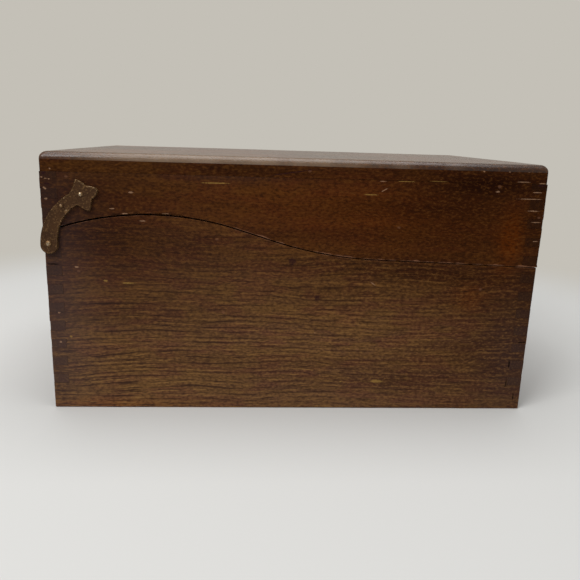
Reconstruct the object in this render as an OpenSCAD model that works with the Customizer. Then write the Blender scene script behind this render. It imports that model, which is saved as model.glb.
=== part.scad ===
// Recipe card box in dark oak: a finger-jointed box sawn along an S-curved seam into a body and
// a deep lid, two stamped metal arms that hinge the lid, and a sliding follower that holds the
// cards upright.
// Millimetres. X runs from the hinge end to the front, Y across the box and Z up. The origin is
// the middle of the underside. Left is the -Y side, as seen by someone who faces the front.

/* [Box] */
// Length of the body, from its rear face to its front
box_l = 235; // [215:1:260]
// Width of the body across the cards
box_w = 146.5; // [138:0.5:170]
// Height of the box with the lid shut
box_h = 124; // [118:1:150]
// How far the lid stands proud of the body on all four sides
lid_proud = 0.25; // [0.15:0.05:0.6]

/* [Boards] */
// Thickness of the two side boards
side_t = 7.5; // [6.5:0.5:10]
// Thickness of the front and rear boards
end_t = 7.5; // [6.5:0.5:9]
// Thickness of the bottom board
bottom_t = 8.5; // [7:0.5:12]
// Thickness of the top board
top_t = 9; // [6:0.5:12]
// Radius along the upper edges of the top board
top_round = 3.5; // [2:0.5:5]
// Width of one finger of the corner joints
finger_w = 4.5; // [4:0.5:8]

/* [Seam] */
// Distance of the crest of the seam from the rear face
crest_from_rear = 49.5; // [40:0.5:60]
// Height of the crest of the seam, on the body
crest_z = 96.1; // [92:0.1:100]
// Radius of the convex curve over the crest
crest_r = 135; // [120:1:160]
// Slope of the straight run that leads down from it, in degrees
seam_slope = 17; // [14:0.5:19]
// Length of that straight run
seam_run = 17.3; // [5:0.1:25]
// Radius of the hollow curve below it
hollow_r = 190; // [150:1:220]
// Slope of the last run to the front, in degrees
front_slope = 1.6; // [0.5:0.1:3]
// Width of the saw cut at the rear
kerf_rear = 0.85; // [0.7:0.05:1.2]
// Width of the saw cut at the front
kerf_front = 0.3; // [0.2:0.05:0.6]

/* [Hinge arms] */
// Thickness of the stamped arms
arm_t = 1.2; // [0.8:0.1:2]
// Radius of the round eye at the pivot
eye_r = 4; // [3.6:0.1:4.3]
// Distance of the pivot from the rear face
pivot_in = 2.5; // [2.2:0.1:3]
// Depth of the pivot below the rear end of the seam
pivot_drop = 4.4; // [4:0.1:5]
// Radius of the pivot pin
pivot_r = 1; // [0.8:0.05:1.2]
// Distance of the arms' highest point below the top board
arm_top_gap = 3.2; // [2.5:0.1:5]
// Running clearance around the pin and under its head
pivot_clear = 0.08; // [0.05:0.01:0.1]
// Radius of the pivot pin's head
pivot_head_r = 1.5; // [1.4:0.1:2]
// Radius of the nails that hold the arm to the lid
nail_r = 0.7; // [0.5:0.05:0.9]
// Radius of the nails' heads
nail_head_r = 1.15; // [1:0.05:1.4]
// Height of the domed heads of pins and nails
head_h = 0.7; // [0.4:0.1:1]
// Depth of pins and nails in the wood
nail_in = 6; // [4:0.5:6.2]

/* [Bottom nails] */
// Radius of the brads through the bottom board
brad_r = 0.8; // [0.6:0.05:1]
// Length of the brads
brad_l = 28; // [22:1:35]
// Radius of the brads' flat heads
brad_head_r = 1.5; // [1.2:0.1:2]
// Thickness of their heads
brad_head_h = 0.4; // [0.3:0.1:0.8]
// Depth that their heads are punched below the surface
brad_set = 0.4; // [0.2:0.1:1]
// Number of brads along each side
side_brads = 4; // [2:1:4]
// Distance between the brads along each side
brad_pitch = 58; // [40:1:60]
// Number of brads along each end
end_brads = 2; // [1:1:2]
// Distance between the brads along each end
brad_end_pitch = 70; // [50:1:90]

/* [Card follower] */
// Space between the wooden follower and each side of the box
block_gap = 3.75; // [2:0.25:6]
// Height of the follower
block_h = 68; // [50:1:75]
// Length of the follower at its foot
block_foot = 32; // [28:1:45]
// Length of the follower at its top
block_top = 12; // [8:1:20]
// Bevel along the follower's top edges
block_bevel = 1.5; // [0.5:0.5:3]
// Space between the follower's screws and the rear board when it is pushed back
follower_gap = 1; // [0.5:0.5:3]
// Distance that the follower slides
follower_travel = 150; // [100:1:160]
// Width of the bracket under and behind the follower
bracket_w = 22; // [16:1:30]
// Distance of the bracket's front edge behind the follower's
bracket_short = 1; // [0.5:0.5:4]
// Height of the bracket's upright leg
bracket_h = 40; // [30:1:45]
// Thickness of the bracket
bracket_t = 1.2; // [1:0.1:2]
// Width of the steel track
track_w = 20; // [18:1:26]
// Thickness of the track
track_t = 1.2; // [1:0.1:1.8]
// Width of the slot along the track
slot_w = 5; // [4.5:0.1:6]
// Space around the runner in its slot and groove
slide_clear = 0.3; // [0.2:0.05:0.4]
// Length of the runner
runner_l = 20; // [18:1:26]
// Width of the runner's foot
runner_w = 9.5; // [8:0.5:11]
// Thickness of the runner's foot
runner_t = 1.5; // [1:0.1:2]
// Depth of the groove under the slot
groove_d = 3; // [2.8:0.1:3.5]
// Radius of the rivets that join runner and bracket
rivet_r = 1.1; // [0.9:0.1:1.3]
// Distance between the two rivets
rivet_pitch = 11; // [9:0.5:12]
// Radius of the screws' shanks
screw_r = 1.4; // [1.2:0.1:1.6]
// Radius of the screws' heads
screw_head_r = 2.8; // [2.4:0.1:3]
// Length of the screws in the follower
screw_l = 12; // [9:1:16]
// Distance between the two screws in the follower
screw_pitch = 18; // [12:1:20]

/* [Hidden] */

$fn = 48;

// Colours, as the photograph shows them
oak = "#5a3420";
dark_oak = "#4a2a1c";
end_grain = "#43281d";
bare_oak = "#a9814f";
bronze = "#6b4a34";
steel = "#8d8d88";

// Small distances shared by many pieces
// Extra length of a cut beyond the face that it leaves
over = 1;
// Clearance around a nail or screw in its hole
hole_fit = 0.05;
// Clearance around a strip let into wood
inlay_fit = 0.1;

// Planes of the box
rear_x = -box_l / 2;
front_x = box_l / 2;
side_y = box_w / 2;
wall_top = box_h - top_t;

// The finger joints start at the bottom board
finger_count = ceil((wall_top - bottom_t) / finger_w);

// The seam, from rear to front: an arc over the crest, a straight run, a hollow arc and a last
// straight run
crest_x = rear_x + crest_from_rear;
run_x0 = crest_x + crest_r * sin(seam_slope);
run_z0 = crest_z - crest_r * (1 - cos(seam_slope));
run_x1 = run_x0 + seam_run * cos(seam_slope);
run_z1 = run_z0 - seam_run * sin(seam_slope);
hollow_x = run_x1 + hollow_r * sin(seam_slope);
hollow_z = run_z1 + hollow_r * cos(seam_slope);
last_x = hollow_x - hollow_r * sin(front_slope);
last_z = hollow_z - hollow_r * cos(front_slope);
seam_ends = box_l / 2 + lid_proud + over;
arc_steps = 14;

// Height of the body's edge of the seam at x
function seam_z(x) =
    x < run_x0 ? crest_z - crest_r + sqrt(crest_r * crest_r - pow(x - crest_x, 2)) :
    x < run_x1 ? run_z0 - (x - run_x0) * tan(seam_slope) :
    x < last_x ? hollow_z - sqrt(hollow_r * hollow_r - pow(hollow_x - x, 2)) :
    last_z - (x - last_x) * tan(front_slope);

// Width of the saw cut at x
function kerf(x) = kerf_rear + (kerf_front - kerf_rear) * (x - rear_x) / box_l;

rear_angle = asin((-seam_ends - crest_x) / crest_r);
crest_step = (seam_slope - rear_angle) / arc_steps;
hollow_step = (front_slope - seam_slope) / arc_steps;
seam_x = concat(
    [for (i = [0:arc_steps]) crest_x + crest_r * sin(rear_angle + i * crest_step)],
    [for (i = [0:arc_steps]) hollow_x - hollow_r * sin(seam_slope + i * hollow_step)],
    [seam_ends]
);

// The hinge arm, seen from outside: x forward and z up from the pivot. Heights above the pivot
// are drawn for an arm of drawn_reach and stretched to the lid's wall.
pivot_x = rear_x + pivot_in;
pivot_z = seam_z(rear_x) - pivot_drop;
arm_face = side_y + lid_proud;
drawn_reach = 29.5;
reach = wall_top - arm_top_gap - pivot_z;
function stretched(p) = [p[0], p[1] < 0 ? p[1] : p[1] * reach / drawn_reach];
eye_x = 0.2;
eye_z = -0.9;
// Corners of the eye, the neck and its three-pointed end, each with the rise of the arc to the
// next corner
arm_corners = [
    [eye_x - eye_r, eye_z, 3.7], [10.4, 22.9, -0.4], [13.4, 29.5, 0.5], [18.2, 26.7, 0.4],
    [23.5, 25.3, 0.5], [20.6, 20.7, 0.2], [19.3, 15.2, 0.4], [14.4, 17.8, 0],
    [13.4, 17.7, -2.9], [eye_x + eye_r, eye_z, eye_r]
];
nail_places = [for (p = [[15.6, 22.9], [6.8, 17.5]]) stretched(p)];

// The follower stands at the rear of the box, on the track let into the floor
floor_z = bottom_t;
screw_head_h = 1.5;
block_x = rear_x + end_t + follower_gap + screw_head_h + bracket_t;
bracket_z = floor_z + slide_clear;
block_z = bracket_z + bracket_t;
block_w = box_w - 2 * side_t - 2 * block_gap;
runner_x = block_x + block_foot / 2;
slot_l = follower_travel + runner_l + 2 * slide_clear;
slot_x0 = runner_x - runner_l / 2 - slide_clear;
track_end = 8;
track_x0 = slot_x0 - track_end;
track_l = slot_l + 2 * track_end;
track_z = floor_z - track_t;
groove_clear = 0.6;
groove_w = runner_w + 2 * groove_clear;
track_screw_in = 3.6;
track_screw_l = 6;
rivet_rim = 0.7;
rivet_head_r = rivet_r + rivet_rim;
rivet_head_h = 0.7;
foot_top = track_z - slide_clear;
foot_z = foot_top - runner_t;

// Places a drawing of the x and z plane between two planes of y
module across(y0, y1) {
    translate([0, y1, 0]) rotate([90, 0, 0]) linear_extrude(y1 - y0) children();
}

// Places a drawing of the y and z plane between two planes of x
module along(x0, x1) {
    translate([x0, 0, 0]) rotate([90, 0, 90]) linear_extrude(x1 - x0) children();
}

// Places what is drawn for the left side on the right side
module right_side() {
    mirror([0, 1, 0]) children();
}

// Side view of all that lies below the seam
module below_seam() {
    polygon(concat([[-seam_ends, 0]], [for (x = seam_x) [x, seam_z(x)]], [[seam_ends, 0]]));
}

// Side view of all that lies above the saw cut
module above_seam() {
    polygon(concat([[-seam_ends, box_h]], [for (x = seam_x) [x, seam_z(x) + kerf(x)]],
                   [[seam_ends, box_h]]));
}

// Side view of a side board over the full height, with the gaps that the end boards' fingers
// fill. The lid's boards stand out further than the body's.
module side_outline(out) {
    half = box_l / 2 + out;
    difference() {
        translate([-half, bottom_t]) square([2 * half, wall_top - bottom_t]);
        for (k = [1:2:finger_count - 1], s = [0, 1]) {
            mirror([s, 0]) translate([half - end_t - out, bottom_t + k * finger_w])
                square([end_t + out + over, finger_w]);
        }
    }
}

// End view of a front or rear board, with the gaps that the side boards' fingers fill
module end_outline(out) {
    half = box_w / 2 + out;
    difference() {
        translate([-half, bottom_t]) square([2 * half, wall_top - bottom_t]);
        for (k = [0:2:finger_count - 1], s = [0, 1]) {
            mirror([s, 0]) translate([half - side_t - out, bottom_t + k * finger_w])
                square([side_t + out + over, finger_w]);
        }
    }
}

// Nail or pin with a domed head, pointing along +Y from under its head
module domed_nail(shank_r, shank_l, head_r) {
    dome_r = (head_r * head_r + head_h * head_h) / (2 * head_h);
    rotate([-90, 0, 0]) {
        cylinder(r = shank_r, h = shank_l);
        intersection() {
            translate([0, 0, dome_r - head_h]) sphere(dome_r);
            translate([0, 0, -head_h]) cylinder(r = dome_r, h = head_h);
        }
    }
}

// Flat-headed screw or rivet, pointing along -Z from the top of its head
module flat_screw(shank_r, length, head_r, head_h) {
    translate([0, 0, -length]) cylinder(r = shank_r, h = length - head_h);
    translate([0, 0, -head_h]) cylinder(r1 = shank_r, r2 = head_r, h = head_h);
}

// Pivot pin of the left arm
module left_pin() {
    outside = arm_t + lid_proud + pivot_clear;
    translate([pivot_x, -side_y - outside, pivot_z])
        domed_nail(pivot_r, nail_in + outside, pivot_head_r);
}

// Nails of the left arm
module left_nails() {
    for (p = nail_places) {
        translate([pivot_x + p[0], -arm_face - arm_t, pivot_z + p[1]])
            domed_nail(nail_r, nail_in + arm_t, nail_head_r);
    }
}

// Hole for a nail or pin in the left side of the box, from outside to just past its tip
module nail_hole(x, z, r, face) {
    translate([x, -face - over, z]) rotate([-90, 0, 0])
        cylinder(r = r + hole_fit, h = over + nail_in + hole_fit);
}

// Holes for both arms' pivot pins in the body
module pivot_holes() {
    nail_hole(pivot_x, pivot_z, pivot_r, side_y);
    right_side() nail_hole(pivot_x, pivot_z, pivot_r, side_y);
}

// Holes for both arms' nails in the lid
module lid_nail_holes() {
    for (p = nail_places) {
        nail_hole(pivot_x + p[0], pivot_z + p[1], nail_r, arm_face);
        right_side() nail_hole(pivot_x + p[0], pivot_z + p[1], nail_r, arm_face);
    }
}

// Places at an even pitch about the middle
function middled(count, pitch) = [for (i = [0:count - 1]) (i - (count - 1) / 2) * pitch];

// Places of the brads, in the middle of the walls that they enter
function brad_places() = concat(
    [for (x = middled(side_brads, brad_pitch), s = [-1, 1]) [x, s * (side_y - side_t / 2)]],
    [for (y = middled(end_brads, brad_end_pitch), s = [-1, 1]) [s * (front_x - end_t / 2), y]]
);

// A flat-headed brad, pointing up from its head, which is punched below the underside
module brad() {
    translate([0, 0, brad_set]) cylinder(r = brad_head_r, h = brad_head_h);
    translate([0, 0, brad_set]) cylinder(r = brad_r, h = brad_l);
}

// Holes for all the brads
module brad_holes() {
    for (p = brad_places()) translate(p) {
        translate([0, 0, -over])
            cylinder(r = brad_head_r + hole_fit, h = over + brad_set + brad_head_h);
        cylinder(r = brad_r + hole_fit, h = brad_set + brad_l + hole_fit);
    }
}

// Bottom board, with the recess for the track and the groove for the runner's foot
module bottom_board() {
    color(dark_oak) difference() {
        translate([rear_x, -side_y, 0]) cube([box_l, box_w, bottom_t]);
        translate([track_x0 - inlay_fit, -track_w / 2 - inlay_fit, track_z])
            cube([track_l + 2 * inlay_fit, track_w + 2 * inlay_fit, track_t + over]);
        translate([slot_x0, -groove_w / 2, track_z - groove_d])
            cube([slot_l, groove_w, groove_d + over]);
        track_screw_set(hole_fit);
        brad_holes();
    }
}

// A body side board, on the left
module body_side() {
    difference() {
        across(-side_y, side_t - side_y) intersection() {
            side_outline(0);
            below_seam();
        }
        pivot_holes();
        brad_holes();
    }
}

// A lid side board, on the left
module lid_side() {
    difference() {
        across(-arm_face, side_t - side_y) intersection() {
            side_outline(lid_proud);
            above_seam();
        }
        lid_nail_holes();
    }
}

// A full-height end board between two planes of x
module end_board(x0, x1, out) {
    along(x0, x1) end_outline(out);
}

// All below the seam, across the whole box
module body_half() {
    across(-side_y - over, side_y + over) below_seam();
}

// All above the saw cut, across the whole box
module lid_half() {
    across(-arm_face - over, arm_face + over) above_seam();
}

module body_left_side() {
    color(oak) body_side();
}

module body_right_side() {
    color(oak) right_side() body_side();
}

module body_front() {
    color(end_grain) difference() {
        intersection() {
            end_board(front_x - end_t, front_x, 0);
            body_half();
        }
        brad_holes();
    }
}

module body_rear() {
    color(end_grain) difference() {
        intersection() {
            end_board(rear_x, rear_x + end_t, 0);
            body_half();
        }
        pivot_holes();
        brad_holes();
    }
}

module bottom_nails() {
    color(steel) for (p = brad_places()) translate(p) brad();
}

// Quarter circle of the rounded edge from angle a0 on, about a centre at x
function edge_round(x, a0) = [
    for (a = [a0:15:a0 + 90]) [x, box_h - top_round] + top_round * [cos(a), sin(a)]
];

// Outline of the top board with its two upper corners rounded
function rounded_top(half) = concat(
    [[-half, wall_top], [half, wall_top]],
    edge_round(half - top_round, 0),
    edge_round(top_round - half, 90)
);

module lid_top() {
    color(dark_oak) intersection() {
        across(-arm_face, arm_face) polygon(rounded_top(box_l / 2 + lid_proud));
        along(rear_x - lid_proud, front_x + lid_proud) polygon(rounded_top(arm_face));
    }
}

module lid_left_side() {
    color(oak) lid_side();
}

module lid_right_side() {
    color(oak) right_side() lid_side();
}

module lid_front() {
    color(end_grain) intersection() {
        end_board(front_x - end_t, front_x + lid_proud, lid_proud);
        lid_half();
    }
}

module lid_rear() {
    color(end_grain) difference() {
        intersection() {
            end_board(rear_x - lid_proud, rear_x + end_t, lid_proud);
            lid_half();
        }
        lid_nail_holes();
    }
}

// Points along the arc from p to q whose middle stands off to the left of the chord by rise
function arc(p, q, rise) = rise == 0 ? [p] :
    let (
        chord = q - p,
        len = norm(chord),
        left = [-chord[1], chord[0]] / len,
        r = (len * len / 4 + rise * rise) / (2 * rise),
        centre = (p + q) / 2 + left * (rise - r),
        a0 = atan2(p[1] - centre[1], p[0] - centre[0]),
        turn = -2 * sign(r) * asin(min(1, len / abs(2 * r))),
        steps = ceil(abs(turn) / 8)
    )
    [for (i = [0:steps - 1]) centre + abs(r) * [cos(a0 + turn * i / steps), sin(a0 + turn * i / steps)]];

// Side view of the arm: the round eye, the curved neck and the three-pointed end
module arm_outline() {
    n = len(arm_corners);
    polygon([
        for (i = [0:n - 1])
            let (c = arm_corners[i], d = arm_corners[(i + 1) % n])
            each arc(stretched(c), stretched(d), c[2])
    ]);
}

module left_arm() {
    translate([pivot_x, 0, pivot_z]) across(-arm_face - arm_t, -arm_face) difference() {
        arm_outline();
        circle(pivot_r + pivot_clear);
        for (p = nail_places) translate(p) circle(nail_r + hole_fit);
    }
}

module left_hinge_arm() {
    color(bronze) left_arm();
}

module right_hinge_arm() {
    color(bronze) right_side() left_arm();
}

module left_hinge_pivot() {
    color(bronze) left_pin();
}

module right_hinge_pivot() {
    color(bronze) right_side() left_pin();
}

module left_hinge_nails() {
    color(bronze) left_nails();
}

module right_hinge_nails() {
    color(bronze) right_side() left_nails();
}

// Slotted steel strip, flush with the floor
module follower_track() {
    color(steel) difference() {
        translate([track_x0, -track_w / 2, track_z]) cube([track_l, track_w, track_t]);
        translate([slot_x0, -slot_w / 2, track_z - over]) cube([slot_l, slot_w, track_t + 2 * over]);
        track_screw_set(hole_fit);
    }
}

// The screws at both ends of the track, with room around them for their holes
module track_screw_set(room) {
    for (x = [track_x0 + track_screw_in, track_x0 + track_l - track_screw_in]) {
        translate([x, 0, floor_z])
            flat_screw(screw_r + room, track_screw_l + room, screw_head_r + room, track_t);
    }
}

module track_screws() {
    color(steel) track_screw_set(0);
}

// Wooden wedge whose front leans back
module follower_block() {
    color(bare_oak) difference() {
        translate([block_x, 0, block_z]) across(-block_w / 2, block_w / 2) polygon([
            [0, 0], [block_foot, 0],
            [block_top, block_h - block_bevel], [block_top - block_bevel, block_h],
            [block_bevel, block_h], [0, block_h - block_bevel]
        ]);
        bracket_screw_set(hole_fit);
    }
}

// Bent steel plate under and behind the wedge
module follower_bracket() {
    leg = block_foot - bracket_short;
    color(steel) difference() {
        translate([block_x, 0, bracket_z]) across(-bracket_w / 2, bracket_w / 2) polygon([
            [-bracket_t, 0], [leg, 0], [leg, bracket_t],
            [0, bracket_t], [0, bracket_h], [-bracket_t, bracket_h]
        ]);
        bracket_screw_set(hole_fit);
        rivet_set(hole_fit);
    }
}

// Steel slide: a neck in the slot and a wider foot under the track
module follower_runner() {
    neck_w = slot_w - 2 * slide_clear;
    color(steel) difference() {
        union() {
            translate([runner_x - runner_l / 2, -runner_w / 2, foot_z])
                cube([runner_l, runner_w, runner_t]);
            translate([runner_x - runner_l / 2, -neck_w / 2, foot_z])
                cube([runner_l, neck_w, bracket_z - foot_z]);
        }
        rivet_set(hole_fit);
    }
}

// The rivets through bracket and runner, with room around them for their holes
module rivet_set(room) {
    for (s = [-0.5, 0.5]) {
        translate([runner_x + s * rivet_pitch, 0, block_z])
            flat_screw(rivet_r + room, block_z - foot_z + room, rivet_head_r + room, rivet_head_h);
    }
}

module follower_rivets() {
    color(steel) rivet_set(0);
}

// The round-headed screws through the bracket's upright leg, with room around them
module bracket_screw_set(room) {
    for (s = [-0.5, 0.5]) {
        translate([block_x - bracket_t, 0, bracket_z + bracket_h / 2 + s * screw_pitch])
            rotate([0, 90, 0]) {
                cylinder(r = screw_r + room, h = screw_l + room);
                translate([0, 0, -screw_head_h]) cylinder(r = screw_head_r + room, h = screw_head_h);
            }
    }
}

module bracket_screws() {
    color(steel) bracket_screw_set(0);
}

bottom_board();
body_left_side();
body_right_side();
body_front();
body_rear();
bottom_nails();
follower_track();
track_screws();
left_hinge_pivot();
right_hinge_pivot();
lid_top();
lid_left_side();
lid_right_side();
lid_front();
lid_rear();
left_hinge_arm();
right_hinge_arm();
left_hinge_nails();
right_hinge_nails();
follower_block();
follower_bracket();
follower_runner();
follower_rivets();
bracket_screws();
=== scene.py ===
"""Dark oak recipe card box: the finish and the worn shapes of every piece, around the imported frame.

All shapes are worked out in millimetres and put into metres when they become meshes. X runs from
the hinge end to the front, Y across the box, Z up, and the left side (-Y) faces the camera.
"""
import math

import bpy
import numpy as np
from mathutils import Matrix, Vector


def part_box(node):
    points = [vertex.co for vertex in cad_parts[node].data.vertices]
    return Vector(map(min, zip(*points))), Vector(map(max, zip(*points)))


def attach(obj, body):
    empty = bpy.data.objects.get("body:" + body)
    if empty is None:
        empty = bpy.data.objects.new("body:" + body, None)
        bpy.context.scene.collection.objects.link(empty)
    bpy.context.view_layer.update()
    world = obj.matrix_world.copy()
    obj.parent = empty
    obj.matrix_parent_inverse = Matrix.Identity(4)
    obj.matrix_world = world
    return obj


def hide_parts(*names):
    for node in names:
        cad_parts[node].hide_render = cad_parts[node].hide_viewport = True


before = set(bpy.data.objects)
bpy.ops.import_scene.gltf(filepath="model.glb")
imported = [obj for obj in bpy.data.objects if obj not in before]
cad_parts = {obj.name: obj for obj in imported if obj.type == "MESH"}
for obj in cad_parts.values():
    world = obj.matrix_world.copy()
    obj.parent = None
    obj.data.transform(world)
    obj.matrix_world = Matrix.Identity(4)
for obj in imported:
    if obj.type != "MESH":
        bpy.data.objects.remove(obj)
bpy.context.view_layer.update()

MM = 0.001


def frame_box(node):
    """Lowest and highest corner of a CAD node, in mm."""
    low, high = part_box(node)
    return np.array(low) / MM, np.array(high) / MM


# Planes of the box, from the frame
BODY_X, BODY_Y, FLOOR_Z = frame_box("bottom_board")[1]
LID_X, LID_Y, TOP_Z = frame_box("lid_top")[1]
WALL_TOP = frame_box("lid_top")[0][2]
END_IN = frame_box("body_front")[0][0]
SIDE_IN = -frame_box("body_left_side")[1][1]
TOP_ROUND = 3.5

# Fingers of the corner joints: their height and the lines between them, the ones that the saw cut
# crosses at the front and at the rear, and the line above which the lid's rows stay level
FINGER = 4.5
FINGERS = FLOOR_Z + FINGER * np.arange(24)
FRONT_CUT, REAR_CUT, LID_LEVEL = 14, 17, 22

# The seam: an arc over the crest, a straight run, a hollow arc and a last straight run
CREST_FROM_REAR = 49.5
CREST_X = CREST_FROM_REAR - BODY_X
CREST_Z = 96.1
CREST_R = 135.0
RUN_SLOPE = math.radians(17)
RUN_LENGTH = 17.3
HOLLOW_R = 190.0
LAST_SLOPE = math.radians(1.6)
RUN_X0 = CREST_X + CREST_R * math.sin(RUN_SLOPE)
RUN_Z0 = CREST_Z - CREST_R * (1 - math.cos(RUN_SLOPE))
RUN_X1 = RUN_X0 + RUN_LENGTH * math.cos(RUN_SLOPE)
RUN_Z1 = RUN_Z0 - RUN_LENGTH * math.sin(RUN_SLOPE)
HOLLOW_X = RUN_X1 + HOLLOW_R * math.sin(RUN_SLOPE)
HOLLOW_Z = RUN_Z1 + HOLLOW_R * math.cos(RUN_SLOPE)
LAST_X = HOLLOW_X - HOLLOW_R * math.sin(LAST_SLOPE)
LAST_Z = HOLLOW_Z - HOLLOW_R * math.cos(LAST_SLOPE)
KERF_REAR = 0.85
KERF_FRONT = 0.3


def seam(x):
    """Height of the body's edge of the saw cut at x. Each stretch is its own circle or line, and
    x picks the stretch that it lies on."""
    x = np.asarray(x, float)
    crest = CREST_Z - CREST_R + np.sqrt(np.maximum(CREST_R ** 2 - (x - CREST_X) ** 2, 0))
    run = RUN_Z0 - (x - RUN_X0) * math.tan(RUN_SLOPE)
    hollow = HOLLOW_Z - np.sqrt(np.maximum(HOLLOW_R ** 2 - (HOLLOW_X - x) ** 2, 0))
    last = LAST_Z - (x - LAST_X) * math.tan(LAST_SLOPE)
    return np.select([x < RUN_X0, x < RUN_X1, x < LAST_X], [crest, run, hollow], last)


def lid_edge(x):
    """Height of the lid's edge of the saw cut: the body's, and a kerf that narrows to the front."""
    share = (np.asarray(x, float) + BODY_X) / (2 * BODY_X)
    return seam(x) + KERF_REAR + (KERF_FRONT - KERF_REAR) * share


def half_of(upper):
    """Half length, half width and the saw cut's edge of the lid, or else of the body."""
    return (LID_X, LID_Y, lid_edge) if upper else (BODY_X, BODY_Y, seam)


def wobble(points, size, seed):
    """Smooth noise from -1 to 1: a third of the sum of eight sine waves in seeded directions, each of
    about that size in mm."""
    rng = np.random.default_rng(seed)
    way = rng.normal(size=(8, 3))
    length = np.linalg.norm(way, axis=1, keepdims=True)
    way *= 2 * np.pi / size * rng.uniform(0.6, 1.4, (8, 1)) / length
    return np.clip(np.sin(points @ way.T + rng.uniform(0, 2 * np.pi, 8)).sum(-1) / 3, -1, 1)


def spaced(keys, step):
    """Grid lines through all keys, with even steps of at most that size between neighbours."""
    keys = np.unique(np.round(np.asarray(keys, float), 4))
    runs = [np.linspace(a, b, math.ceil((b - a) / step - 1e-6), endpoint=False)
            for a, b in zip(keys[:-1], keys[1:])]
    return np.append(np.concatenate(runs), keys[-1])


def grid_quads(index):
    """Quads between the neighbours of a grid of vertex numbers."""
    return np.stack([index[:-1, :-1], index[1:, :-1], index[1:, 1:], index[:-1, 1:]], -1)


def slab(outer, inner, layers, cells=None):
    """Closed solid between two grids of points, both n by m, filled all over or where cells is True.
    Both grids' cells make its faces, and along every border between a filled and an empty cell a
    wall joins the two grids, with a ring of points at each share in layers of the way between them."""
    n, m = outer.shape[:2]
    cells = np.ones((n - 1, m - 1), bool) if cells is None else cells
    index = np.arange(n * m).reshape(n, m)
    quads = grid_quads(index)[cells]
    filled = np.pad(cells, 1)
    above, below = filled[1:-1, 1:], filled[1:-1, :-1]
    right, left = filled[1:, 1:-1], filled[:-1, 1:-1]
    edges = [
        (index[:-1][above & ~below], index[1:][above & ~below]),
        (index[1:][below & ~above], index[:-1][below & ~above]),
        (index[:, 1:][right & ~left], index[:, :-1][right & ~left]),
        (index[:, :-1][left & ~right], index[:, 1:][left & ~right]),
    ]
    p = np.concatenate([e[0] for e in edges])
    q = np.concatenate([e[1] for e in edges])
    rim = np.unique(np.append(p, q))
    flat_outer = outer.reshape(-1, 3)
    flat_inner = inner.reshape(-1, 3)
    rings = [flat_outer[rim] * (1 - t) + flat_inner[rim] * t for t in layers]
    points = np.concatenate([flat_outer, flat_inner, *rings])
    share = np.concatenate([np.zeros(n * m), np.ones(n * m), *[np.full(len(rim), t) for t in layers]])
    steps = [(p, q)]
    steps += [(2 * n * m + k * len(rim) + np.searchsorted(rim, p),
               2 * n * m + k * len(rim) + np.searchsorted(rim, q)) for k in range(len(layers))]
    steps += [(p + n * m, q + n * m)]
    walls = [np.stack([a[1], a[0], b[0], b[1]], -1) for a, b in zip(steps[:-1], steps[1:])]
    faces = np.concatenate([quads, quads[:, ::-1] + n * m, *walls])
    used, faces = np.unique(faces, return_inverse=True)
    return points[used], faces.reshape(-1, 4), share[used]


def volume(points, faces):
    """Signed volume: the sum of the tetrahedra from the origin to each face's triangles."""
    a, b, c = points[faces[:, 0]], points[faces[:, 1]], points[faces[:, 2]]
    total = (a * np.cross(b, c)).sum()
    if faces.shape[1] == 4:
        total += (a * np.cross(c, points[faces[:, 3]])).sum()
    return total / 6


def creases(points, faces, angle=40):
    """Edges whose two faces meet at more than that angle, as pairs of vertices packed into one
    number, and whether each is an outward corner."""
    a = np.concatenate([f.ravel() for f in faces])
    b = np.concatenate([np.roll(f, -1, 1).ravel() for f in faces])
    corners = [points[f] for f in faces]
    normal = np.concatenate([np.cross(c[:, 2] - c[:, 0], c[:, -1] - c[:, 1]) for c in corners])
    normal /= np.linalg.norm(normal, axis=1, keepdims=True) + 1e-12
    middle = np.concatenate([c.mean(1) for c in corners])
    sides = np.concatenate([np.full(len(f), f.shape[1]) for f in faces])
    face = np.repeat(np.arange(len(sides)), sides)
    key = np.minimum(a, b) * len(points) + np.maximum(a, b)
    order = np.argsort(key, kind="stable")
    same = key[order][:-1] == key[order][1:]
    first, second = face[order[:-1][same]], face[order[1:][same]]
    bent = (normal[first] * normal[second]).sum(1) < math.cos(math.radians(angle))
    outward = ((middle[second] - middle[first]) * normal[first]).sum(1) < 0
    return key[order[:-1][same][bent]], outward[bent]


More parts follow.
